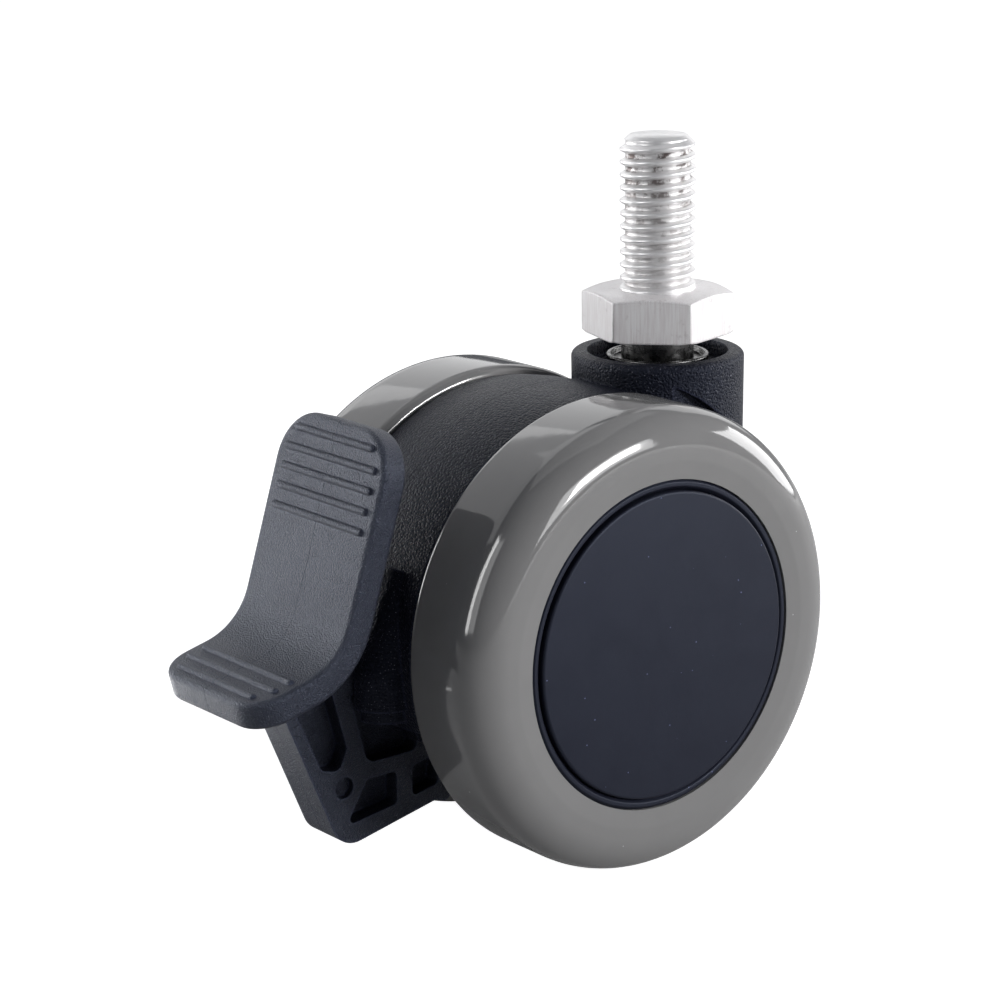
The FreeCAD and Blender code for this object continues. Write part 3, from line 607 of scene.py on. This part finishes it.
# softboxes: degrees right of the camera, degrees up, metres away, width and height, radiance
SOFTBOXES = {
    "left_low": (-114, 4, 1.0, (0.70, 0.36), 9.8),
    "left_strip": (-61, 24, 1.0, (0.16, 0.74), 7.5),
    "left_glow": (-49, 24, 1.0, (0.34, 0.72), 2.0),
    "right_box": (64, 16, 1.0, (0.32, 0.21), 28.0),
    "right_halo": (62, 15, 1.02, (0.54, 0.38), 5.2),
    "right_back": (118, 10, 1.1, (0.6, 0.45), 6.5),
    "ceiling": (180, 72, 1.3, (1.2, 1.2), 0.5),
    "back_wall": (180, 24, 2.2, (2.6, 1.3), 1.3),
}
SHINE_ONLY = ("left_strip", "left_glow")    # seen in reflections, adding no light of their own
FLOOR_RADIUS = 5.0                 # metres
FLOOR_GAP = 0.2 * MM               # the floor that is seen lies this far below the one that bounces


def direction(heading, climb):
    """Unit vector away from the object; a heading of zero is -Y, and it grows towards +X."""
    return Vector((math.sin(heading) * math.cos(climb), -math.cos(heading) * math.cos(climb),
                   math.sin(climb)))


def camera():
    """Long lens from above the near wheel, aimed close to the object's middle."""
    data = bpy.data.cameras.new("camera")
    data.lens = LENS
    data.sensor_width = 36.0
    data.clip_start = 0.01
    eye = bpy.data.objects.new("camera", data)
    back = direction(AZIMUTH, ELEVATION)
    aim = (CAD_BOX[0] + CAD_BOX[1]) / 2 + AIM_SHIFT
    level = (-back).to_track_quat("-Z", "Y").to_matrix()
    turn = level @ Matrix.Rotation(ROLL, 3, "Z")
    eye.matrix_world = Matrix.Translation(aim + back * DISTANCE) @ turn.to_4x4()
    bpy.context.scene.collection.objects.link(eye)
    bpy.context.scene.camera = eye


def softbox(name, turn, rise, distance, size, radiance, shine_only):
    """A glowing panel that faces the object; turn is to the right of the camera, in degrees."""
    heading, climb = AZIMUTH + math.radians(turn), math.radians(rise)
    away = direction(heading, climb)
    data = bpy.data.lights.new(name, "AREA")
    data.shape = "RECTANGLE"
    data.size, data.size_y = size
    data.energy = radiance * math.pi * size[0] * size[1]
    lamp = bpy.data.objects.new(name, data)
    middle = (CAD_BOX[0] + CAD_BOX[1]) / 2
    facing = away.to_track_quat("Z", "Y").to_matrix().to_4x4()
    lamp.matrix_world = Matrix.Translation(middle + away * distance) @ facing
    lamp.visible_diffuse = not shine_only
    bpy.context.scene.collection.objects.link(lamp)


def overhead(name, place, size, radiance):
    """A panel that looks straight down at the floor behind the object."""
    data = bpy.data.lights.new(name, "AREA")
    data.size = size
    data.energy = radiance * math.pi * size * size
    lamp = bpy.data.objects.new(name, data)
    lamp.location = place
    bpy.context.scene.collection.objects.link(lamp)


def floor_card(name, place, size, radiance):
    """A shining card that lies face up beside the brake arm and shows only in its sheen."""
    data = bpy.data.lights.new(name, "AREA")
    data.size = size
    data.energy = radiance * math.pi * size * size
    lamp = bpy.data.objects.new(name, data)
    lamp.matrix_world = Matrix.Translation(place) @ Matrix.Rotation(math.pi, 4, "X")
    lamp.visible_diffuse = False
    bpy.context.scene.collection.objects.link(lamp)


def hide_from(item, *rays):
    """Leave an item out of what these kinds of ray see."""
    for ray in rays:
        setattr(item, f"visible_{ray}", False)


def glowing(name, colour, strength):
    """Matt paint that can shine a little by itself."""
    paint = Finish(name, Roughness=0.9, Specular_IOR_Level=0.0, Emission_Strength=strength)
    paint.set("Base Color", paint.blend(paint.noise(60.0), grey(colour), grey(colour * 1.02)))
    paint.set("Emission Color", grey(1.0))
    return paint.done()


def disc(name, height, paint):
    """A wide flat floor."""
    bpy.ops.mesh.primitive_circle_add(
        vertices=96, radius=FLOOR_RADIUS, fill_type="NGON", location=(0, 0, height))
    floor = bpy.context.object
    floor.name = name
    floor.data.materials.append(paint)
    return floor


def studio():
    """White sweep and floor to look at, softboxes for light, and a duller floor that bounces it."""
    ground = CAD_BOX[0].z
    world = bpy.data.worlds.new("studio")
    world.use_nodes = True
    backdrop = world.node_tree.nodes["Background"].inputs
    backdrop["Color"].default_value = (0.9, 0.97, 1.12, 1)
    backdrop["Strength"].default_value = 0.09
    bpy.context.scene.world = world
    bpy.context.scene.view_settings.view_transform = "Standard"
    for name, values in SOFTBOXES.items():
        softbox(name, *values, shine_only=name in SHINE_ONLY)
    overhead("floor_light", Vector((-0.25, 1.0, 0.7)), size=1.2, radiance=0.8)
    floor_card("left_card", Vector((-0.095, 0.088, ground + MM)), size=0.07, radiance=4.2)
    bounce = disc("bounce_floor", ground, glowing("dull_floor", colour=0.55, strength=0.0))
    hide_from(bounce, "camera", "shadow")
    floor = disc("floor", ground - FLOOR_GAP, glowing("pale_floor", colour=0.5, strength=0.95))
    hide_from(floor, "diffuse", "glossy", "transmission")
    bpy.ops.mesh.primitive_uv_sphere_add(
        segments=48, ring_count=24, radius=FLOOR_RADIUS - 0.1, location=(0, 0, ground))
    sweep = bpy.context.object
    sweep.name = "white_sweep"
    sweep.data.materials.append(glowing("white_sweep", colour=0.0, strength=1.1))
    hide_from(sweep, "diffuse", "glossy", "transmission", "shadow")


# ---- assembly ------------------------------------------------------------------------

CAD_FINISHES = {
    "black_housing": ["housing", "boss_plug"],
    "black_pedal": ["pedal"],
    "black_cap": ["wheel_core_left", "wheel_core_right", "brake_ring_left", "brake_ring_right"],
    "zinc_steel": ["axle", "pivot_pin", "brake_bar", "axle_spacer_left", "axle_spacer_right"],
    "bearing_steel": ["swivel_inner_ring", "swivel_outer_ring", "swivel_balls",
                      *[f"hub_{piece}_{name}" for name in SIDES
                        for piece in ("inner_ring", "outer_ring", "balls")]],
    "dark_zinc_and_painted_shade": ["dust_washer"],
    "spring_steel": ["stem_clip", "axle_clip_left", "axle_clip_right", "detent_spring"],
    "bush_acetal": ["lower_bush"],
}


def cad_finishes():
    for slot, names in CAD_FINISHES.items():
        for name in names:
            dress(NODES[name], slot)


cad_finishes()
wheels()
threaded_post()
hex_collar()
kingpin()
camera()
studio()
